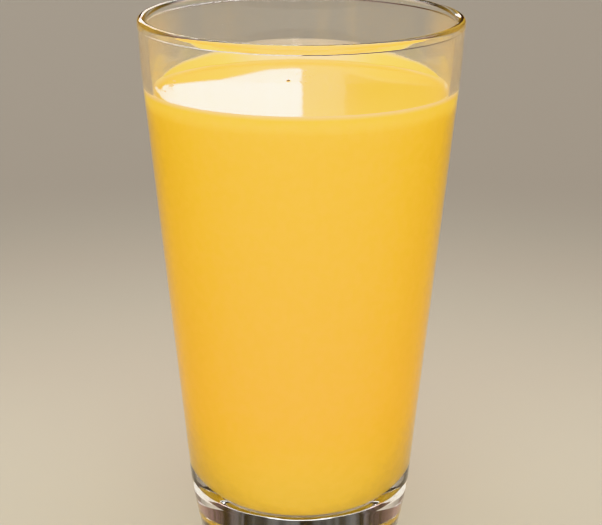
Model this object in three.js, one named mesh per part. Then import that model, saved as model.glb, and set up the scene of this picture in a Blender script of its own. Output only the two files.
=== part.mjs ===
// A tall tapered pint glass, filled with mango lassi to a finger's width below its lip.
// Millimetres, +Z up, with the origin in the middle of the face that the glass stands on.

import * as THREE from 'three';

// Outside of the glass
const GLASS_HEIGHT = 149;
const LIP_RADIUS = 44.45;
const LIP_HEIGHT = 2.5; // rounded lip, from its lower edge to its top
const LIP_PROUD = 0.25; // how far the lip stands out from the wall below it
const LIP_OUTER_ROUND = 1.1;
const LIP_INNER_ROUND = 1.3;
const COLLAR_HEIGHT = 136; // above this the wall leans out less
const COLLAR_RADIUS = 43.55;
const COLLAR_ROUND = 120;
const WALL_TAPER = 0.1094; // growth of the radius for each millimetre of height
const FOOT_HEIGHT = 15.5; // below this the wall draws in to the foot
const FOOT_ROUND = 8;
const FOOT_RADIUS = 27;
const FOOT_EDGE_ROUND = 0.8;

// Hollow underside with a flat ceiling, inside the ring that the glass stands on
const KICK_RADIUS = 24.5;
const KICK_EDGE_ROUND = 0.5;
const KICK_DEPTH = 8.7;
const KICK_TOP_RADIUS = 23.5;
const KICK_TOP_ROUND = 2;

// Inside of the glass: an even wall, then a deep oval bowl over the base
const WALL = 2.4;
const BOWL_BOTTOM = 12.5;
const BOWL_WIDTH = 19; // half axes of the oval
const BOWL_DEPTH = 42.5;

// The drink
const DRINK_LEVEL = 129;
const CLIMB_HEIGHT = 1.3; // the surface curves up where it meets the wall
const CLIMB_WIDTH = 3;
const CLIMB_STEEP_WIDTH = 1; // width of its steep part, next to the wall
const CLEARANCE = 0.3; // gap between the drink and the glass

// Fineness of the round surfaces
const SIDES = 64;
const ARC_STEPS = 2;
const BOWL_STEPS = 16;

const lipUnderside = GLASS_HEIGHT - LIP_HEIGHT;
const underLipRadius = LIP_RADIUS - LIP_PROUD;
const collarTaper = (underLipRadius - COLLAR_RADIUS) / (lipUnderside - COLLAR_HEIGHT);

function outerRadius(z) {
  const taper = z > COLLAR_HEIGHT ? collarTaper : WALL_TAPER;
  return COLLAR_RADIUS + taper * (z - COLLAR_HEIGHT);
}

const innerRadius = (z) => outerRadius(z) - WALL;

// The bowl leaves the wall where both have the same slope.
const bowlStart = Math.atan((WALL_TAPER * BOWL_DEPTH) / BOWL_WIDTH);
const bowlCentreHeight = BOWL_BOTTOM + BOWL_DEPTH;
const bowlTop = bowlCentreHeight - BOWL_DEPTH * Math.sin(bowlStart);
const bowlCentreRadius = innerRadius(bowlTop) - BOWL_WIDTH * Math.cos(bowlStart);

// Points down the bowl from the wall to its bottom, set in from it by a gap.
function bowlPoints(gap) {
  const width = BOWL_WIDTH - gap;
  const depth = BOWL_DEPTH - gap;
  const end = -Math.PI / 2;
  const oval = new THREE.EllipseCurve(bowlCentreRadius, bowlCentreHeight, width, depth, -bowlStart, end, true);
  return oval.getPoints(BOWL_STEPS);
}

// Leads an outline from its last point round a corner towards the next, with an arc touching both sides.
function turnCorner(path, corner, next, round) {
  const back = path.currentPoint.clone().sub(corner).normalize();
  const ahead = next.clone().sub(corner).normalize();
  const half = Math.acos(back.dot(ahead)) / 2;
  const middle = back.clone().add(ahead).normalize();
  const centre = corner.clone().addScaledVector(middle, round / Math.sin(half));
  const start = corner.clone().addScaledVector(back, round / Math.tan(half)).sub(centre);
  const end = corner.clone().addScaledVector(ahead, round / Math.tan(half)).sub(centre);
  path.absarc(centre.x, centre.y, round, start.angle(), end.angle(), start.cross(end) < 0);
}

// Follows corners given as [radius, height, round], and ends at the last one.
function followCorners(path, corners) {
  const points = corners.map(([radius, height]) => new THREE.Vector2(radius, height));
  const last = corners.length - 1;
  for (let i = 0; i < last; i += 1) {
    turnCorner(path, points[i], points[i + 1], corners[i][2]);
  }
  path.lineTo(points[last].x, points[last].y);
}

function followPoints(path, points) {
  points.forEach((point) => path.lineTo(point.x, point.y));
}

// Turns an outline in (radius, height) round the vertical axis.
function turnedSolid(name, outline, material) {
  const geometry = new THREE.LatheGeometry(outline.getPoints(ARC_STEPS), SIDES);
  geometry.rotateX(Math.PI / 2);
  const mesh = new THREE.Mesh(geometry, material);
  mesh.name = name;
  return mesh;
}

function makeGlass() {
  const lipInside = innerRadius(GLASS_HEIGHT);
  const beadRound = LIP_PROUD;
  const bowl = bowlPoints(0);

  const outline = new THREE.Path();
  outline.moveTo(0, KICK_DEPTH);
  outline.lineTo(KICK_TOP_RADIUS / 2, KICK_DEPTH);
  followCorners(outline, [
    [KICK_TOP_RADIUS, KICK_DEPTH, KICK_TOP_ROUND],
    [KICK_RADIUS, 0, KICK_EDGE_ROUND],
    [FOOT_RADIUS, 0, FOOT_EDGE_ROUND],
    [outerRadius(FOOT_HEIGHT), FOOT_HEIGHT, FOOT_ROUND],
    [COLLAR_RADIUS, COLLAR_HEIGHT, COLLAR_ROUND],
    [underLipRadius, lipUnderside, beadRound],
    [LIP_RADIUS, lipUnderside + beadRound, beadRound],
    [LIP_RADIUS, GLASS_HEIGHT, LIP_OUTER_ROUND],
    [lipInside, GLASS_HEIGHT, LIP_INNER_ROUND],
    [innerRadius(COLLAR_HEIGHT), COLLAR_HEIGHT, COLLAR_ROUND],
    [bowl[0].x, bowl[0].y],
  ]);
  followPoints(outline, bowl.slice(1));
  outline.lineTo(0, BOWL_BOTTOM);

  const clearGlass = new THREE.MeshStandardMaterial({
    color: 0xe6eceb,
    roughness: 0.03,
    metalness: 0,
    transparent: true,
    opacity: 0.35,
  });
  return turnedSolid('glass', outline, clearGlass);
}

function makeDrink() {
  const climbTop = DRINK_LEVEL + CLIMB_HEIGHT;
  const edge = innerRadius(climbTop) - CLEARANCE;

  const outline = new THREE.Path();
  outline.moveTo(0, BOWL_BOTTOM + CLEARANCE);
  followPoints(outline, bowlPoints(CLEARANCE).reverse());
  outline.lineTo(edge, climbTop);
  outline.quadraticCurveTo(edge - CLIMB_STEEP_WIDTH, DRINK_LEVEL, edge - CLIMB_WIDTH, DRINK_LEVEL);
  outline.lineTo(0, DRINK_LEVEL);

  const mangoYellow = new THREE.MeshStandardMaterial({
    color: 0xf7c446,
    roughness: 0.25,
    metalness: 0,
  });
  return turnedSolid('drink', outline, mangoYellow);
}

const mangoLassi = new THREE.Group();
mangoLassi.add(makeGlass(), makeDrink());

export default mangoLassi;
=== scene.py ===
# %% [markdown]
# # A glass of mango lassi
#
# The object is a tall tapered pint glass, filled with a thick yellow drink of mango and yoghurt.
# The solids of the glass and the drink come in as a fixed frame, in metres, with the glass standing
# on the origin. They carry the sizes. This lesson makes the pieces that are seen: a smooth glass, the
# drink, the film and the wet coat that it left on the wall, a few bubbles, and a fleck of spice.

# %% Load the frame
import math
import random

import bmesh
import bpy
from mathutils import Matrix, Vector


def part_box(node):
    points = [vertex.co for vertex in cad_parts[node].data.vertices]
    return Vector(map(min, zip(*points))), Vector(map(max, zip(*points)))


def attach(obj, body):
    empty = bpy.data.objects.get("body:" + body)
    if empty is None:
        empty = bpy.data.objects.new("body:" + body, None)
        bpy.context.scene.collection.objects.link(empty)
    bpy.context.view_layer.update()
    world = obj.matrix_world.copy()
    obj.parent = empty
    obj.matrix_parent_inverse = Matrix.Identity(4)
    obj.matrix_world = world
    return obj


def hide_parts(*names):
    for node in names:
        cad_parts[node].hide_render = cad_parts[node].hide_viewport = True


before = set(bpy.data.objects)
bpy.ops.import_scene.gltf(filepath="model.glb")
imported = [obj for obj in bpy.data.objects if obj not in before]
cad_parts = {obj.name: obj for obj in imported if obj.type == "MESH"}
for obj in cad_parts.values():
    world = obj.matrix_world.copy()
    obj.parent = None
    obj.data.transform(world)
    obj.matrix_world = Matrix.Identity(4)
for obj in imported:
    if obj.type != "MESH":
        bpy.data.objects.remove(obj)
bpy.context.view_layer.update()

# %% [markdown]
# ## The camera
#
# The picture was taken from a little above the lip with a long lens. The camera could be aimed by eye,
# but the lip, the level of the drink and the outline of the glass fix it exactly, so it is placed by
# its distance, its height and its tilt. A turn of a fifth of a degree follows the lean of the picture.

# %% Camera
MM = 0.001
CAMERA_DISTANCE = 679.7 * MM
CAMERA_SIDE = 0.13 * MM
CAMERA_HEIGHT = 267.2 * MM
CAMERA_TILT = math.radians(15.395)
CAMERA_ROLL = math.radians(0.2)
LENS_MM = 152.16

camera_data = bpy.data.cameras.new("camera")
camera_data.lens = LENS_MM
camera = bpy.data.objects.new("camera", camera_data)
bpy.context.scene.collection.objects.link(camera)
camera.matrix_world = (
    Matrix.Translation((CAMERA_SIDE, -CAMERA_DISTANCE, CAMERA_HEIGHT))
    @ Matrix.Rotation(math.pi / 2 - CAMERA_TILT, 4, "X")
    @ Matrix.Rotation(CAMERA_ROLL, 4, "Z")
)
bpy.context.scene.camera = camera
print("camera stands", round(CAMERA_DISTANCE, 3), "m in front of the glass")

# %% [markdown]
# ## Drawing a section
#
# A glass is round, so half of its section says all of its shape. The section could be typed in as a
# long list of points, but real corners are arcs. So it is drawn as a chain of a few corners, and each
# corner is rounded by a vertex bevel. Long straight stretches are cut into short ones, which keeps the
# smooth shading true right up to the arcs.

# %% Helpers for a section
ARC_SEGMENTS = 10
LONGEST_STRETCH = 6 * MM


def draw_chain(bm, corners):
    """A chain of edges in the XZ plane through corners given as (radius, height, round)."""
    verts = [bm.verts.new((radius, 0.0, height)) for radius, height, _ in corners]
    for first, second in zip(verts, verts[1:]):
        bm.edges.new((first, second))
    return verts


def round_corner(bm, vert, radius):
    """Swaps a corner of the chain for an arc that touches both its sides."""
    sides = [(edge.other_vert(vert).co - vert.co).normalized() for edge in vert.link_edges]
    half_angle = sides[0].angle(sides[1]) / 2
    bmesh.ops.bevel(
        bm, geom=[vert], offset=radius / math.tan(half_angle), offset_type="OFFSET",
        affect="VERTICES", segments=ARC_SEGMENTS, profile=0.5, material=-1,
    )


def cut_long_stretches(bm):
    """Divides every edge of the chain that is longer than LONGEST_STRETCH."""
    for edge in list(bm.edges):
        cuts = int(edge.calc_length() / LONGEST_STRETCH)
        if cuts:
            bmesh.ops.subdivide_edges(bm, edges=[edge], cuts=cuts)


print("each round corner gets", ARC_SEGMENTS, "segments")

# %% [markdown]
# ## Turning a section
#
# The finished chain is spun once round the upright axis, as on a potter's wheel. A screw modifier could
# do the same, but a spin gives a plain mesh at once, whose seam and poles are then merged.

# %% Helpers for turned pieces
TURN_STEPS = 192
MERGE_DISTANCE = 0.001 * MM


def turn_section(corners):
    """Rounds a chain of corners and spins it once round the Z axis into a closed skin."""
    bm = bmesh.new()
    verts = draw_chain(bm, corners)
    for vert, (_, _, radius) in zip(verts, corners):
        if radius:
            round_corner(bm, vert, radius)
    cut_long_stretches(bm)
    bmesh.ops.spin(
        bm, geom=bm.verts[:] + bm.edges[:], cent=(0, 0, 0), axis=(0, 0, 1), dvec=(0, 0, 0),
        angle=2 * math.pi, steps=TURN_STEPS, use_merge=True,
    )
    bmesh.ops.remove_doubles(bm, verts=bm.verts, dist=MERGE_DISTANCE)
    bmesh.ops.recalc_face_normals(bm, faces=bm.faces)
    return bm


def make_piece(name, bm):
    """Turns a finished bmesh into a smooth-shaded object at the origin."""
    for face in bm.faces:
        face.smooth = True
    mesh = bpy.data.meshes.new(name)
    bm.to_mesh(mesh)
    bm.free()
    piece = bpy.data.objects.new(name, mesh)
    bpy.context.scene.collection.objects.link(piece)
    print(name, "has", len(mesh.polygons), "faces")
    return piece


# %% [markdown]
# ## The wall and the bowl
#
# The wall of the glass is straight and leans out, a little less above a collar. Inside, the even wall
# runs into a deep oval bowl. The height and the lip come from the frame, and the other sizes repeat
# those of the solid. The drink, the film and the coat all lie against the inside of the wall, so the
# wall and the bowl are functions that those pieces share.

# %% Wall and bowl
GLASS_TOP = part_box("glass")[1]
GLASS_HEIGHT = GLASS_TOP.z
LIP_RADIUS = GLASS_TOP.x
LIP_UNDERSIDE = GLASS_HEIGHT - 2.5 * MM
LIP_PROUD = 0.25 * MM
COLLAR_HEIGHT = 136 * MM
COLLAR_RADIUS = 43.55 * MM
COLLAR_TAPER = (LIP_RADIUS - LIP_PROUD - COLLAR_RADIUS) / (LIP_UNDERSIDE - COLLAR_HEIGHT)
WALL_TAPER = 0.1094
WALL = 2.4 * MM
BOWL_BOTTOM = 12.5 * MM
BOWL_WIDTH = 19 * MM
BOWL_DEPTH = 42.5 * MM
BOWL_STEPS = 40


def outer_radius(z):
    """Outside of the wall at a height."""
    taper = COLLAR_TAPER if z > COLLAR_HEIGHT else WALL_TAPER
    return COLLAR_RADIUS + taper * (z - COLLAR_HEIGHT)


def inner_radius(z):
    """Inside of the wall at a height."""
    return outer_radius(z) - WALL


def bowl_corners(reach):
    """Points down the oval from the wall to the axis, pushed into the glass by a reach."""
    start = math.atan(WALL_TAPER * BOWL_DEPTH / BOWL_WIDTH)
    centre_height = BOWL_BOTTOM + BOWL_DEPTH
    top = centre_height - BOWL_DEPTH * math.sin(start)
    centre_radius = inner_radius(top) - BOWL_WIDTH * math.cos(start)
    points = []
    for step in range(BOWL_STEPS + 1):
        angle = start + (math.pi / 2 - start) * step / BOWL_STEPS
        radius = centre_radius + (BOWL_WIDTH + reach) * math.cos(angle)
        points.append((radius, centre_height - (BOWL_DEPTH + reach) * math.sin(angle), 0))
    points.append((0.0, BOWL_BOTTOM - reach, 0))
    return points


print("mouth of the glass, mm:", round(2 * inner_radius(GLASS_HEIGHT) / MM, 1))

# %% [markdown]
# ## The glass
#
# A pint glass is pressed and blown in one piece. Its rounded lip is melted smooth and stands a hair
# proud, and its base draws in to the foot. It stands on a narrow ring round a hollow with a flat
# ceiling. That ceiling mirrors the room from inside the glass, which is why the foot looks dark and
# streaked. A wall could be made by thickening one skin, but here the inside differs from the outside.
# So one section runs up the outside, over the lip and down the inside.

# %% Glass
LIP_OUTER_ROUND = 1.1 * MM
LIP_INNER_ROUND = 1.3 * MM
COLLAR_ROUND = 120 * MM
FOOT_HEIGHT = 15.5 * MM
FOOT_ROUND = 8 * MM
FOOT_RADIUS = 27 * MM
FOOT_EDGE_ROUND = 0.8 * MM
KICK_RADIUS = 24.5 * MM
KICK_EDGE_ROUND = 0.5 * MM
KICK_DEPTH = 8.7 * MM
KICK_TOP_RADIUS = 23.5 * MM
KICK_TOP_ROUND = 2 * MM


def make_glass():
    lip_inside = inner_radius(GLASS_HEIGHT)
    corners = [
        (0.0, KICK_DEPTH, 0),
        (KICK_TOP_RADIUS, KICK_DEPTH, KICK_TOP_ROUND),
        (KICK_RADIUS, 0.0, KICK_EDGE_ROUND),
        (FOOT_RADIUS, 0.0, FOOT_EDGE_ROUND),
        (outer_radius(FOOT_HEIGHT), FOOT_HEIGHT, FOOT_ROUND),
        (COLLAR_RADIUS, COLLAR_HEIGHT, COLLAR_ROUND),
        (LIP_RADIUS - LIP_PROUD, LIP_UNDERSIDE, LIP_PROUD),
        (LIP_RADIUS, LIP_UNDERSIDE + LIP_PROUD, LIP_PROUD),
        (LIP_RADIUS, GLASS_HEIGHT, LIP_OUTER_ROUND),
        (lip_inside, GLASS_HEIGHT, LIP_INNER_ROUND),
        (inner_radius(COLLAR_HEIGHT), COLLAR_HEIGHT, COLLAR_ROUND),
    ]
    return make_piece("pint_glass", turn_section(corners + bowl_corners(0.0)))


glass = make_glass()
print("base under the bowl, mm:", round((BOWL_BOTTOM - KICK_DEPTH) / MM, 1))

# %% [markdown]
# ## The drink
#
# Lassi wets glass, so its surface is flat in the middle and climbs a little where it meets the wall.
# If the drink ended short of the wall a dark gap of air would show, so this piece reaches just into
# the glass, and light goes from glass to drink with no air between. It is turned like the glass. Its
# open surface gets a material slot of its own, because only there is the drink wet against air.

# %% Drink
CONTACT_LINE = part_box("drink")[1].z
CLIMB_HEIGHT = 1.3 * MM
CLIMB_ROUND = 3.2 * MM
CLIMB_STEEP_WIDTH = 1 * MM
DRINK_LEVEL = CONTACT_LINE - CLIMB_HEIGHT
REACH_INTO_WALL = 0.15 * MM
SIDE_SLOT, TOP_SLOT = 0, 1


def make_drink():
    edge = inner_radius(CONTACT_LINE) + REACH_INTO_WALL
    side = list(reversed(bowl_corners(REACH_INTO_WALL)))
    top = [
        (edge, CONTACT_LINE, 0),
        (edge - CLIMB_STEEP_WIDTH, DRINK_LEVEL, CLIMB_ROUND),
        (0.0, DRINK_LEVEL, 0),
    ]
    bm = turn_section(side + top)
    for face in bm.faces:
        is_open = face.normal.z > 0 and face.calc_center_median().z > DRINK_LEVEL - REACH_INTO_WALL
        face.material_index = TOP_SLOT if is_open else SIDE_SLOT
    return make_piece("lassi", bm)


drink = make_drink()
print("drink level, mm:", round(DRINK_LEVEL / MM, 1))

# %% [markdown]
# ## The shape of the film
#
# The glass was tipped a little before it was set down, and the lassi left a film on the far wall. The
# film is highest at the back and runs out on both sides. It is thick below and thin above. Two small
# functions say how high it reaches and where each of its points lies.

# %% Film shape
FILM_HALF_SPREAD = math.radians(75)
FILM_RISE = 5.1 * MM
FILM_FALLOFF = 0.7
FILM_BELOW = 0.6 * MM
FILM_THICKNESS = 0.5 * MM
FILM_REACH = 0.05 * MM
BACK = math.pi / 2
INNER_SKIN, OUTER_SKIN = 1.0, 2.0


def film_rise(angle):
    """Height of the film above the contact line, at an angle from the back."""
    return FILM_RISE * max(math.cos(angle / FILM_HALF_SPREAD * math.pi / 2), 0.0) ** FILM_FALLOFF


def place_film_point(co):
    """Takes a point of the plain spun wedge (skin, share of height) to its place in the glass."""
    angle = math.atan2(co.y, co.x)
    share = co.z
    skin = round(math.hypot(co.x, co.y))
    rise = film_rise(angle - BACK)
    z = CONTACT_LINE - FILM_BELOW + share * (FILM_BELOW + rise)
    thickness = FILM_THICKNESS * (1 - share) * rise / FILM_RISE + FILM_REACH
    radius = inner_radius(z) + (FILM_REACH if skin == OUTER_SKIN else -thickness)
    return Vector((radius * math.cos(angle), radius * math.sin(angle), z))


print("film at the back reaches, mm above the drink:", round((FILM_RISE + CLIMB_HEIGHT) / MM, 1))

# %% [markdown]
# ## The film
#
# The film could be painted on the glass, but it is a real skin of drink, and it is also mirrored in
# the surface. So a thin wedge is spun through part of a turn, and then every point is moved to its
# height and thickness. How far across and how far up a point lies is kept as a UV map, for the
# material.

# %% Film
FILM_STEPS = 120
FILM_ROWS = 14


def spin_wedge():
    """A plain wedge of two skins, spun round the back of the glass and closed at its ends."""
    bm = bmesh.new()
    shares = [row / FILM_ROWS for row in range(FILM_ROWS + 1)]
    wedge = [(INNER_SKIN, share, 0) for share in shares]
    wedge += [(OUTER_SKIN, share, 0) for share in reversed(shares)]
    verts = draw_chain(bm, wedge)
    bm.edges.new((verts[-1], verts[0]))
    turn = Matrix.Rotation(BACK - FILM_HALF_SPREAD, 3, "Z")
    bmesh.ops.rotate(bm, verts=bm.verts, cent=(0, 0, 0), matrix=turn)
    bmesh.ops.spin(
        bm, geom=bm.verts[:] + bm.edges[:], cent=(0, 0, 0), axis=(0, 0, 1), dvec=(0, 0, 0),
        angle=2 * FILM_HALF_SPREAD, steps=FILM_STEPS,
    )
    bmesh.ops.holes_fill(bm, edges=bm.edges, sides=0)
    return bm


def make_film():
    bm = spin_wedge()
    uv = bm.loops.layers.uv.new("film")
    for face in bm.faces:
        for loop in face.loops:
            co = loop.vert.co
            across = (math.atan2(co.y, co.x) - BACK) / FILM_HALF_SPREAD
            loop[uv].uv = (0.5 + 0.5 * across, co.z)
    for vert in bm.verts:
        vert.co = place_film_point(vert.co)
    bmesh.ops.recalc_face_normals(bm, faces=bm.faces)
    return make_piece("film", bm)


film = make_film()

# %% [markdown]
# ## Bubbles and a fleck
#
# A stirred lassi keeps a few tiny bubbles, in a loose row over the middle and in a cluster at the
# wall, and one dark fleck of spice floats among them. They could be dots in the material, but they
# stand up and catch the light. So they are small balls, pressed flat and half sunk in the surface.
# The places and sizes of the bubbles are drawn by chance from a fixed seed, so that they stay the
# same each time.

# %% Bubbles and fleck
BUBBLE_SEED = 7
BUBBLE_SIZES = (0.18 * MM, 0.42 * MM)
BUBBLE_FLATNESS = 0.6
BALL_SEGMENTS, BALL_RINGS = 20, 12
ROW_BUBBLES, ROW_MIDDLE, ROW_SPREAD = 14, (1.0 * MM, 15 * MM), (1.3 * MM, 8 * MM)
WALL_BUBBLES, WALL_MIDDLE, WALL_SPREAD = 12, (-35.8 * MM, 7 * MM), (0.6 * MM, 4 * MM)
FLECK_PLACE = (-3.6 * MM, 12.3 * MM)
FLECK_SIZE, FLECK_FLATNESS = 0.7 * MM, 0.6


def float_drops(name, drops, flatness):
    """One piece of small flattened balls, given as (x, y, radius), half sunk in the surface."""
    bm = bmesh.new()
    for x, y, radius in drops:
        place = Matrix.Translation((x, y, DRINK_LEVEL)) @ Matrix.Diagonal((1, 1, flatness, 1))
        bmesh.ops.create_uvsphere(
            bm, u_segments=BALL_SEGMENTS, v_segments=BALL_RINGS, radius=radius, matrix=place
        )
    return make_piece(name, bm)


def scatter(chance, count, middle, spread):
    """Bubbles of chance sizes, scattered round a place."""
    places = []
    for _ in range(count):
        x = chance.gauss(middle[0], spread[0])
        y = chance.gauss(middle[1], spread[1])
        places.append((x, y, chance.uniform(*BUBBLE_SIZES)))
    return places


chance = random.Random(BUBBLE_SEED)
row = scatter(chance, ROW_BUBBLES, ROW_MIDDLE, ROW_SPREAD)
cluster = scatter(chance, WALL_BUBBLES, WALL_MIDDLE, WALL_SPREAD)
bubbles = float_drops("bubbles", row + cluster, BUBBLE_FLATNESS)
fleck = float_drops("fleck", [(*FLECK_PLACE, FLECK_SIZE)], FLECK_FLATNESS)

# %% [markdown]
# ## The wet coat
#
# Above the drink the whole inside of the wall was wetted too, and a trace of lassi still clings to it.
# Like the film it is a real skin, so that light passes it on both its faces. It is a thin band on the
# wall, turned like the glass, which reaches a hair into it.

# %% Wet coat
COAT_TOP = GLASS_HEIGHT - 1.6 * MM
COAT_THICKNESS = 0.06 * MM
COAT_REACH = 0.03 * MM


def make_coat():
    heights = (CONTACT_LINE, COLLAR_HEIGHT, COAT_TOP)
    corners = [(inner_radius(z) - COAT_THICKNESS, z, 0) for z in heights]
    corners += [(inner_radius(z) + COAT_REACH, z, 0) for z in reversed(heights)]
    return make_piece("coat", turn_section(corners + corners[:1]))


coat = make_coat()

# %% [markdown]
# ## Clear glass
#
# Glass needs no colour of its own: it bends what is behind it. Light on its way to the drink would be
# stopped by it, unless every bent ray were traced, which is slow and noisy. So for shadow rays alone it
# acts as a plain clear sheet. That keeps the drink inside evenly lit.

# %% Clear glass material
GLASS_TINT = (0.975, 0.985, 0.98, 1.0)
GLASS_IOR = 1.5
CLEAR_SHEET = (0.96, 0.96, 0.96, 1.0)


def new_material(name):
    """A node material with only a principled shader, joined to its output."""
    material = bpy.data.materials.new(name)
    material.use_nodes = True
    tree = material.node_tree
    tree.nodes.clear()
    body = tree.nodes.new("ShaderNodeBsdfPrincipled")
    output = tree.nodes.new("ShaderNodeOutputMaterial")
    tree.links.new(body.outputs["BSDF"], output.inputs["Surface"])
    print("material", name)
    return material, tree, body


def mix_in(tree, body, other, share):
    """Shows another shader in place of the body, by a share from 0 to 1."""
    mix = tree.nodes.new("ShaderNodeMixShader")
    tree.links.new(share, mix.inputs["Fac"])
    tree.links.new(body.outputs["BSDF"], mix.inputs[1])
    tree.links.new(other.outputs["BSDF"], mix.inputs[2])
    tree.links.new(mix.outputs["Shader"], tree.get_output_node("ALL").inputs["Surface"])


def make_clear_glass():
    material, tree, body = new_material("clear_glass")
    body.inputs["Base Color"].default_value = GLASS_TINT
    body.inputs["Roughness"].default_value = 0.0
    body.inputs["IOR"].default_value = GLASS_IOR
    body.inputs["Transmission Weight"].default_value = 1.0
    sheet = tree.nodes.new("ShaderNodeBsdfTransparent")
    sheet.inputs["Color"].default_value = CLEAR_SHEET
    path = tree.nodes.new("ShaderNodeLightPath")
    mix_in(tree, body, sheet, path.outputs["Is Shadow Ray"])
    return material


glass.data.materials.append(make_clear_glass())

# %% [markdown]
# ## Node helpers
#
# The drink changes its colour with height and from place to place, so its materials are small sums of
# nodes. A few helpers keep them readable: a smooth step, one step of arithmetic, a mix of two colours,
# and one coordinate of a point.

# %% Node helpers
def feed(tree, socket, value):
    """Links a socket to another one, or sets it to a plain value."""
    if isinstance(value, bpy.types.NodeSocket):
        tree.links.new(value, socket)
    else:
        socket.default_value = value


def soft_step(tree, value, low, high, first=0.0, second=1.0):
    """A value that goes smoothly from first to second while another goes from low to high."""
    step = tree.nodes.new("ShaderNodeMapRange")
    step.interpolation_type = "SMOOTHSTEP"
    step.inputs["From Min"].default_value = low
    step.inputs["From Max"].default_value = high
    step.inputs["To Min"].default_value = first
    step.inputs["To Max"].default_value = second
    tree.links.new(value, step.inputs["Value"])
    return step.outputs["Result"]


def combine(tree, operation, first, second):
    """One step of arithmetic on two values."""
    node = tree.nodes.new("ShaderNodeMath")
    node.operation = operation
    feed(tree, node.inputs[0], first)
    feed(tree, node.inputs[1], second)
    return node.outputs["Value"]


def ramp_by(tree, value, low, high, first, second):
    """A colour that goes from first to second while a value goes from low to high."""
    mix = tree.nodes.new("ShaderNodeMix")
    mix.data_type = "RGBA"
    tree.links.new(soft_step(tree, value, low, high), mix.inputs["Factor"])
    feed(tree, mix.inputs[6], first)
    feed(tree, mix.inputs[7], second)
    return mix.outputs[2]


def object_place(tree, axis):
    """One coordinate of a point on the object."""
    coordinates = tree.nodes.new("ShaderNodeTexCoord")
    split = tree.nodes.new("ShaderNodeSeparateXYZ")
    tree.links.new(coordinates.outputs["Object"], split.inputs["Vector"])
    return split.outputs[axis]


def noise_on_object(tree, scale, detail):
    """Cloudy noise from 0 to 1 that is fixed to the object."""
    coordinates = tree.nodes.new("ShaderNodeTexCoord")
    stretch = tree.nodes.new("ShaderNodeVectorMath")
    stretch.operation = "MULTIPLY"
    stretch.inputs[1].default_value = scale
    tree.links.new(coordinates.outputs["Object"], stretch.inputs[0])
    noise = tree.nodes.new("ShaderNodeTexNoise")
    noise.inputs["Scale"].default_value = 1.0
    noise.inputs["Detail"].default_value = detail
    tree.links.new(stretch.outputs["Vector"], noise.inputs["Vector"])
    return noise.outputs["Fac"]


print("lassi heights run from", round(BOWL_BOTTOM / MM, 1), "to", round(CONTACT_LINE / MM, 1), "mm")

# %% [markdown]
# ## The pulp
#
# The drink, its film and its bubbles are one pulpy stuff. Seen close, mango pulp mottles the yoghurt a
# little lighter and darker. Each material could have a noise of its own, but as a node group the pulp
# is built once and shared by all of them.

# %% Pulp
PULP_SCALE = 420.0
PULP_DETAIL = 4.0
PULP_SPREAD = 0.3, 0.7
PULP_DARK, PULP_LIGHT = 0.975, 1.02


def make_pulp():
    """A node group that mottles a colour with fine pulp."""
    group = bpy.data.node_groups.new("pulp", "ShaderNodeTree")
    group.interface.new_socket("Color", in_out="INPUT", socket_type="NodeSocketColor")
    group.interface.new_socket("Color", in_out="OUTPUT", socket_type="NodeSocketColor")
    group_in = group.nodes.new("NodeGroupInput")
    group_out = group.nodes.new("NodeGroupOutput")
    grains = noise_on_object(group, (PULP_SCALE, PULP_SCALE, PULP_SCALE), PULP_DETAIL)
    shade = soft_step(group, grains, *PULP_SPREAD, PULP_DARK, PULP_LIGHT)
    scale = group.nodes.new("ShaderNodeVectorMath")
    scale.operation = "SCALE"
    group.links.new(group_in.outputs["Color"], scale.inputs["Vector"])
    group.links.new(shade, scale.inputs["Scale"])
    group.links.new(scale.outputs["Vector"], group_out.inputs["Color"])
    return group


pulp = make_pulp()


def mottled(tree, colour):
    """A colour with the pulp in it."""
    node = tree.nodes.new("ShaderNodeGroup")
    node.node_tree = pulp
    tree.links.new(colour, node.inputs["Color"])
    return node.outputs["Color"]


print("pulp grains, mm:", round(1000 / PULP_SCALE, 1))

# %% [markdown]
# ## The lassi behind the glass
#
# Lassi is opaque: light goes in a little way and comes back yellow, a little deeper low down. Against
# the glass it has no shine of its own, because glass and drink bend light nearly alike. Only in the
# bowl, where the eye looks along the drink at a very low angle, does its skin act as a mirror. Full
# scattering under the skin could give the colour too, but in so deep a drink it looks the same and
# takes far longer, so a plain colour that changes with height is used.

# %% Lassi behind the glass
LASSI_YELLOW = (0.95, 0.68, 0.045, 1.0)
LASSI_LOW = (0.95, 0.615, 0.043, 1.0)
# Painted light: low in the bowl the drink is painted lighter, standing in for light thrown up from the
# floor.
LASSI_LIT_FROM_FLOOR = (0.98, 0.70, 0.11, 1.0)
# Painted light: the thin drink where it climbs the wall is painted paler, for light shining through it
# from behind.
LASSI_BACKLIT_THIN = (0.97, 0.74, 0.30, 1.0)
BACKLIT_BELOW_LEVEL = 0.3 * MM
SIDE_ROUGHNESS = 0.5
LASSI_IOR = 1.35
GLASS_TO_LASSI = LASSI_IOR / GLASS_IOR
MIRROR_LOW, MIRROR_HIGH = 30 * MM, 45 * MM


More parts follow.
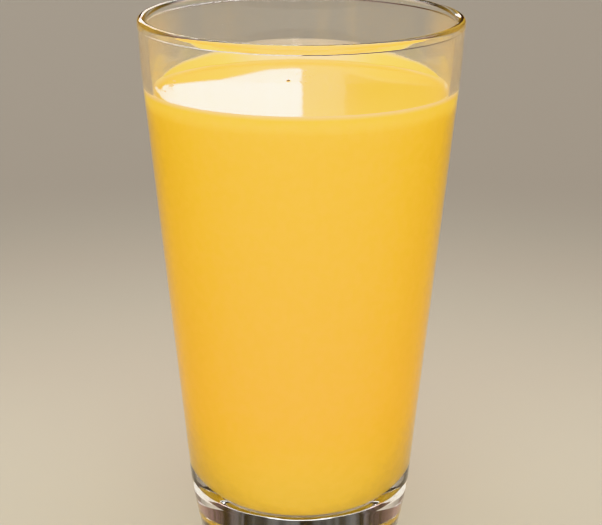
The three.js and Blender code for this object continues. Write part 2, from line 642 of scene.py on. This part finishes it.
def make_lassi_side():
    material, tree, body = new_material("lassi_side")
    height = object_place(tree, "Z")
    # Painted light from the floor at the bottom of the bowl, turning into the deeper low colour.
    low = ramp_by(tree, height, BOWL_BOTTOM, MIRROR_HIGH, LASSI_LIT_FROM_FLOOR, LASSI_LOW)
    depth = ramp_by(tree, height, MIRROR_LOW, DRINK_LEVEL, low, LASSI_YELLOW)
    # Painted light through the thin climbing edge, seen through the glass.
    pale = ramp_by(tree, height, DRINK_LEVEL - BACKLIT_BELOW_LEVEL, CONTACT_LINE, depth, LASSI_BACKLIT_THIN)
    tree.links.new(mottled(tree, pale), body.inputs["Base Color"])
    body.inputs["Roughness"].default_value = SIDE_ROUGHNESS
    body.inputs["Specular IOR Level"].default_value = 0.0
    glancing = tree.nodes.new("ShaderNodeFresnel")
    glancing.inputs["IOR"].default_value = GLASS_TO_LASSI
    in_bowl = soft_step(tree, height, MIRROR_LOW, MIRROR_HIGH, 1.0, 0.0)
    mirror = tree.nodes.new("ShaderNodeBsdfGlossy")
    mirror.inputs["Roughness"].default_value = 0.0
    mix_in(tree, body, mirror, combine(tree, "MULTIPLY", glancing.outputs["Fac"], in_bowl))
    return material


drink.data.materials.append(make_lassi_side())

# %% [markdown]
# ## The open surface
#
# The open surface is wet and mirrors the window. Fine ripples in the thick drink make the mirrored
# edges a little uneven. They are far flatter than a hair, so they are a bump in the material. Where the
# surface climbs the wall the drink is thin, and there its colour is painted paler, most of all at the
# back, where the film drains into it: painted light, for light shining through the thin drink.

# %% Lassi surface
LASSI_BACKLIT_DRAINED = (0.96, 0.83, 0.30, 1.0)
BACKLIT_FROM, BACKLIT_TO = -10 * MM, 15 * MM
WET_ROUGHNESS = 0.04
RIPPLE_SCALE = 90.0
RIPPLE_DETAIL = 1.0
RIPPLE_HEIGHT = 0.025 * MM


def make_lassi_surface():
    material, tree, body = new_material("lassi_surface")
    backward = object_place(tree, "Y")
    # Painted light, palest at the back, where the thin climbing drink is lit from behind.
    thin = ramp_by(tree, backward, BACKLIT_FROM, BACKLIT_TO, LASSI_BACKLIT_THIN, LASSI_BACKLIT_DRAINED)
    pale = ramp_by(tree, object_place(tree, "Z"), DRINK_LEVEL, CONTACT_LINE, LASSI_YELLOW, thin)
    tree.links.new(mottled(tree, pale), body.inputs["Base Color"])
    body.inputs["Roughness"].default_value = WET_ROUGHNESS
    body.inputs["IOR"].default_value = LASSI_IOR
    waves = noise_on_object(tree, (RIPPLE_SCALE, RIPPLE_SCALE, RIPPLE_SCALE), RIPPLE_DETAIL)
    bump = tree.nodes.new("ShaderNodeBump")
    bump.inputs["Distance"].default_value = RIPPLE_HEIGHT
    tree.links.new(waves, bump.inputs["Height"])
    tree.links.new(bump.outputs["Normal"], body.inputs["Normal"])
    return material


drink.data.materials.append(make_lassi_surface())

# %% [markdown]
# ## The film's finish
#
# The film is the same drink, spread thin. Low down it hides the wall. Higher up it turns more
# see-through towards its upper edge. Its colour is painted lighter than the drink, paler in the middle
# of the back and whiter towards its upper edge: painted light, for light shining through the thin film
# from behind. In the middle of the back it has drained most, and only a low part of it is still
# opaque. Height alone could not say this, so the finish follows the film's own UV map.

# %% Film material
FILM_BACKLIT_WHITE = (0.84, 0.79, 0.60, 1.0)
FILM_BACKLIT_PALE = (0.96, 0.90, 0.56, 1.0)
FILM_BACKLIT_YELLOW = (0.96, 0.865, 0.16, 1.0)
FILM_ROUGHNESS = 0.35
FILM_THIN_ALPHA = 0.13
DRAINED_SHARE, OPAQUE_SHARE = 0.05, 0.6
DRAINED_ACROSS = 0.05, 0.55
PALE_ACROSS = 0.1, 0.5
WHITE_ABOVE = -0.1, 0.3
CLEAR_ABOVE = 0.0, 0.25
UPPER_EDGE = 0.7, 1.0


def film_places(tree):
    """How far across the film a point is, from 0 in the middle to 1 at its ends, and how far up."""
    coordinates = tree.nodes.new("ShaderNodeUVMap")
    coordinates.uv_map = "film"
    split = tree.nodes.new("ShaderNodeSeparateXYZ")
    tree.links.new(coordinates.outputs["UV"], split.inputs["Vector"])
    centred = combine(tree, "SUBTRACT", split.outputs["X"], 0.5)
    across = combine(tree, "MULTIPLY", combine(tree, "ABSOLUTE", centred, 0.0), 2.0)
    return across, split.outputs["Y"]


def make_film_finish():
    material, tree, body = new_material("lassi_film")
    across, share = film_places(tree)
    opaque_to = soft_step(tree, across, *DRAINED_ACROSS, DRAINED_SHARE, OPAQUE_SHARE)
    above = combine(tree, "SUBTRACT", share, opaque_to)
    # Painted light: lighter than the drink, paler in the middle, whiter high up, for light through the
    # film.
    thick = ramp_by(tree, across, *PALE_ACROSS, FILM_BACKLIT_PALE, FILM_BACKLIT_YELLOW)
    colour = ramp_by(tree, above, *WHITE_ABOVE, thick, FILM_BACKLIT_WHITE)
    tree.links.new(mottled(tree, colour), body.inputs["Base Color"])
    thin = soft_step(tree, above, *CLEAR_ABOVE, 1.0, FILM_THIN_ALPHA)
    to_ends = soft_step(tree, across, *PALE_ACROSS)
    gone = combine(tree, "MULTIPLY", to_ends, soft_step(tree, share, *UPPER_EDGE))
    faded = combine(tree, "MULTIPLY", thin, combine(tree, "SUBTRACT", 1.0, gone))
    tree.links.new(faded, body.inputs["Alpha"])
    body.inputs["Roughness"].default_value = FILM_ROUGHNESS
    body.inputs["IOR"].default_value = LASSI_IOR
    return material


film.data.materials.append(make_film_finish())

# %% [markdown]
# ## The finish of the bubbles and the fleck
#
# A bubble is a thin skin of lassi, the colour of the drink at its foot, and its crown is painted paler:
# a painted highlight where light falls on its top. The fleck is a crumb of spice, brown and wet,
# painted darker at the drink and lighter on top, as painted shade and light. A clear bubble of bent
# light would be lost at this size, so both are opaque and change colour with height.

# %% Bubble and fleck materials
BUBBLE_CROWN_HIGHLIGHT = (0.97, 0.86, 0.55, 1.0)
FLECK_SHADED_FOOT = (0.10, 0.05, 0.015, 1.0)
FLECK_LIT_TOP = (0.28, 0.16, 0.05, 1.0)
CROWN_HEIGHT = 0.2 * MM
BUBBLE_ROUGHNESS, FLECK_ROUGHNESS = 0.08, 0.6


def make_floating_finish(name, foot, crown, roughness):
    material, tree, body = new_material(name)
    height = object_place(tree, "Z")
    # Painted light: the top of each bubble and fleck is painted lighter than its foot at the drink.
    colour = ramp_by(tree, height, DRINK_LEVEL, DRINK_LEVEL + CROWN_HEIGHT, foot, crown)
    tree.links.new(mottled(tree, colour), body.inputs["Base Color"])
    body.inputs["Roughness"].default_value = roughness
    body.inputs["IOR"].default_value = LASSI_IOR
    return material


foam = make_floating_finish("lassi_bubbles", LASSI_YELLOW, BUBBLE_CROWN_HIGHLIGHT, BUBBLE_ROUGHNESS)
spice = make_floating_finish("spice_fleck", FLECK_SHADED_FOOT, FLECK_LIT_TOP, FLECK_ROUGHNESS)
bubbles.data.materials.append(foam)
fleck.data.materials.append(spice)

# %% [markdown]
# ## The finish of the wet coat
#
# Looked through, the coat is hardly seen, but at the sides of the glass, where the wall is seen edge
# on, it shows as a yellow streak. A tint in the glass would colour the lip and the foot as well. So the
# coat is a nearly clear yellow, with upright streaks where it ran down, and it is painted more opaque
# at the left and right: a painted reflection of the drink's yellow light, carried along the wall there.

# %% Wet coat material
COAT_YELLOW = (0.96, 0.72, 0.18, 1.0)
COAT_ROUGHNESS = 0.3
COAT_CLEAR, COAT_STREAK, COAT_SIDE_REFLECTION = 0.01, 0.03, 0.13
SIDE_REFLECTION_FROM, SIDE_REFLECTION_TO = 33 * MM, 41 * MM
STREAK_SCALE = (150.0, 150.0, 12.0)
STREAK_DETAIL = 3.0
STREAK_SPREAD = 0.4, 0.75


def make_coat_finish():
    material, tree, body = new_material("lassi_coat")
    body.inputs["Base Color"].default_value = COAT_YELLOW
    streaks = noise_on_object(tree, STREAK_SCALE, STREAK_DETAIL)
    alpha = soft_step(tree, streaks, *STREAK_SPREAD, COAT_CLEAR, COAT_STREAK)
    # Painted reflection: the coat is made more opaque at the left and right, for yellow light carried
    # in the wall.
    aside = combine(tree, "ABSOLUTE", object_place(tree, "X"), 0.0)
    painted_side_reflection = soft_step(tree, aside, SIDE_REFLECTION_FROM, SIDE_REFLECTION_TO, 0.0, COAT_SIDE_REFLECTION)
    tree.links.new(combine(tree, "ADD", alpha, painted_side_reflection), body.inputs["Alpha"])
    body.inputs["Roughness"].default_value = COAT_ROUGHNESS
    body.inputs["IOR"].default_value = LASSI_IOR
    return material


coat.data.materials.append(make_coat_finish())

# %% [markdown]
# ## The floor
#
# A plain pale floor stands in for the table. It is only a stage, and not part of the object. It gets
# darker away from the glass, as a table does where the light from the front falls off.

# %% Floor
FLOOR_SIZE = 8.0
FLOOR_GAP = 0.1 * MM
FLOOR_NEAR = (0.40, 0.395, 0.30, 1.0)
FLOOR_FAR = (0.20, 0.196, 0.149, 1.0)
FLOOR_FADE = 0.06, 0.45
FLOOR_ROUGHNESS = 0.8


def make_floor_finish():
    material, tree, body = new_material("pale_floor")
    coordinates = tree.nodes.new("ShaderNodeTexCoord")
    away = tree.nodes.new("ShaderNodeVectorMath")
    away.operation = "LENGTH"
    tree.links.new(coordinates.outputs["Object"], away.inputs[0])
    shade = ramp_by(tree, away.outputs["Value"], *FLOOR_FADE, FLOOR_NEAR, FLOOR_FAR)
    tree.links.new(shade, body.inputs["Base Color"])
    body.inputs["Roughness"].default_value = FLOOR_ROUGHNESS
    return material


def make_floor():
    bm = bmesh.new()
    bmesh.ops.create_grid(
        bm, x_segments=1, y_segments=1, size=FLOOR_SIZE / 2,
        matrix=Matrix.Translation((0.0, 0.0, -FLOOR_GAP)),
    )
    floor = make_piece("floor", bm)
    floor.data.materials.append(make_floor_finish())


make_floor()

# %% [markdown]
# ## The studio
#
# Lamps could light the glass, but a lamp behind curved glass gives hard edges and noise. So the whole
# room is one soft world, drawn by the direction that a ray goes in: how far to the side, to the back
# and up, each from -1 to 1, and the angle round from the back.

# %% Studio
world = bpy.data.worlds.new("studio")
bpy.context.scene.world = world
world.use_nodes = True
sky = world.node_tree
sky_ray = sky.nodes.new("ShaderNodeTexCoord")
sky_split = sky.nodes.new("ShaderNodeSeparateXYZ")
sky.links.new(sky_ray.outputs["Generated"], sky_split.inputs["Vector"])

backward, upward = sky_split.outputs["Y"], sky_split.outputs["Z"]
sideways = combine(sky, "ABSOLUTE", sky_split.outputs["X"], 0.0)
from_back = combine(sky, "ARCTAN2", sky_split.outputs["X"], backward)
print("the light is drawn in the world", world.name)

# %% [markdown]
# ## Soft light
#
# The room is bright in front, softer overhead, and has a faint glow at the sides. The light behind the
# glass stays high up: the ceiling of the hollow foot mirrors what is lower, and there the room has to
# be dim. That dim part has soft upright folds like a curtain, which streak the foot.

# %% Soft light
FRONT_LIGHT, FRONT_DEPTH, FRONT_HEIGHT = 5.3, (-1.0, -0.5), (0.05, 0.3)
BACK_LIGHT, BACK_DEPTH, BACK_HEIGHT = 3.0, (0.1, 0.5), (0.5, 0.65)
SIDE_LIGHT, SIDE_REACH, SIDE_HEIGHT = 0.3, (0.6, 0.9), (0.0, 0.3)
TOP_LIGHT, TOP_HEIGHT = 1.6, (0.4, 0.8)
FOLD_DARK, FOLD_LIGHT = 0.03, 0.17
FOLD_SCALE = 9.0
FOLD_SPREAD = 0.35, 0.65


def light_from(direction, reach, heights, at_start, at_end):
    """Light that changes along a direction and fades in with height."""
    strength = soft_step(sky, direction, *reach, at_start, at_end)
    return combine(sky, "MULTIPLY", strength, soft_step(sky, upward, *heights))


def folded_curtain():
    """Dim light with upright folds."""
    folds = sky.nodes.new("ShaderNodeTexNoise")
    folds.noise_dimensions = "1D"
    folds.inputs["Scale"].default_value = FOLD_SCALE
    sky.links.new(from_back, folds.inputs["W"])
    return soft_step(sky, folds.outputs["Fac"], *FOLD_SPREAD, FOLD_DARK, FOLD_LIGHT)


front = light_from(backward, FRONT_DEPTH, FRONT_HEIGHT, FRONT_LIGHT, 0.0)
back = light_from(backward, BACK_DEPTH, BACK_HEIGHT, 0.0, BACK_LIGHT)
glow = light_from(sideways, SIDE_REACH, SIDE_HEIGHT, 0.0, SIDE_LIGHT)
top = soft_step(sky, upward, *TOP_HEIGHT, 0.0, TOP_LIGHT)
bright = combine(sky, "MAXIMUM", front, combine(sky, "MAXIMUM", back, top))
room = combine(sky, "ADD", bright, combine(sky, "ADD", folded_curtain(), glow))
print("the front is brighter than the top by", round(FRONT_LIGHT / TOP_LIGHT, 1), "times")

# %% [markdown]
# ## The window
#
# Behind on the left is a window, which the surface of the drink mirrors as a white patch, with a narrow
# dimmer strip at its right. The window is low and wide, just as much of it as the surface mirrors: more
# of it would only put a white line under the lip.

# %% Window
WINDOW_LIGHT, WINDOW_ANGLES, WINDOW_BLUR = 13.0, (-0.3, 0.0), 0.001
STRIP_LIGHT, STRIP_ANGLES, STRIP_BLUR = 0.36, (0.0, 0.030), 0.003
WINDOW_HEIGHTS, SILL_BLUR = (0.175, 0.225), 0.008


def light_band(value, limits, blur):
    """1 between two limits and 0 outside, with blurred edges."""
    low, high = limits
    rise = soft_step(sky, value, low - blur, low + blur)
    fall = soft_step(sky, value, high - blur, high + blur, 1.0, 0.0)
    return combine(sky, "MULTIPLY", rise, fall)


upright = light_band(upward, WINDOW_HEIGHTS, SILL_BLUR)
window = combine(sky, "MULTIPLY", light_band(from_back, WINDOW_ANGLES, WINDOW_BLUR), upright)
strip = combine(sky, "MULTIPLY", light_band(from_back, STRIP_ANGLES, STRIP_BLUR), upright)
room = combine(sky, "ADD", room, combine(sky, "MULTIPLY", window, WINDOW_LIGHT))
room = combine(sky, "ADD", room, combine(sky, "MULTIPLY", strip, STRIP_LIGHT))
sky.links.new(room, sky.nodes["Background"].inputs["Strength"])
print("window spans, degrees:", round(math.degrees(WINDOW_ANGLES[1] - WINDOW_ANGLES[0]), 1))

# %% [markdown]
# ## The tone of the room
#
# Daylight is white, but a room throws it back warmer from its sides and low down, and that gives the
# glass its brown lines. The window itself stays white. Looked at directly, past the floor, the room is
# a plain backdrop, so that nothing draws the eye from the glass.

# %% Tone of the room
DAYLIGHT = (1.0, 1.0, 1.0, 1.0)
WARM_ROOM, WARM_REACH = (1.0, 0.58, 0.62, 1.0), (0.3, 0.7)
DUSK, DUSK_HEIGHT = (1.0, 0.58, 0.48, 1.0), (0.1, 0.35)
BACKDROP = (0.41, 0.35, 0.30, 1.0)


def show_backdrop():
    """Lets the camera see a plain tone where no piece is."""
    backdrop = sky.nodes.new("ShaderNodeBackground")
    backdrop.inputs["Color"].default_value = BACKDROP
    path = sky.nodes.new("ShaderNodeLightPath")
    mix = sky.nodes.new("ShaderNodeMixShader")
    sky.links.new(path.outputs["Is Camera Ray"], mix.inputs["Fac"])
    sky.links.new(sky.nodes["Background"].outputs["Background"], mix.inputs[1])
    sky.links.new(backdrop.outputs["Background"], mix.inputs[2])
    sky.links.new(mix.outputs["Shader"], sky.nodes["World Output"].inputs["Surface"])


sides = ramp_by(sky, sideways, *WARM_REACH, DAYLIGHT, WARM_ROOM)
tone = ramp_by(sky, upward, *DUSK_HEIGHT, DUSK, sides)
panes = combine(sky, "MAXIMUM", window, strip)
white_panes = ramp_by(sky, panes, 0.0, 1.0, tone, DAYLIGHT)
sky.links.new(white_panes, sky.nodes["Background"].inputs["Color"])
show_backdrop()
print("the studio has", len(sky.nodes), "nodes")

# %% [markdown]
# ## Render settings
#
# A camera rolls bright colours off gently towards white, so a view with a soft shoulder is used: the
# mirrored window turns white on the yellow drink and does not clip. Light crosses many faces of glass
# in the base, so enough bounces are allowed.

# %% Render settings
GLASS_BOUNCES = 24

scene = bpy.context.scene
scene.view_settings.view_transform = "Khronos PBR Neutral"
scene.cycles.use_denoising = True
scene.cycles.max_bounces = GLASS_BOUNCES
scene.cycles.transmission_bounces = GLASS_BOUNCES
scene.cycles.transparent_max_bounces = GLASS_BOUNCES
print("light may cross", GLASS_BOUNCES, "faces of glass")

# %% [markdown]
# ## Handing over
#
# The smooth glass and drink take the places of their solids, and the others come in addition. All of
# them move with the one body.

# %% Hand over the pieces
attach(glass, "root")
for piece in (drink, film, bubbles, fleck, coat):
    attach(piece, "root")
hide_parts("glass")
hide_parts("drink")
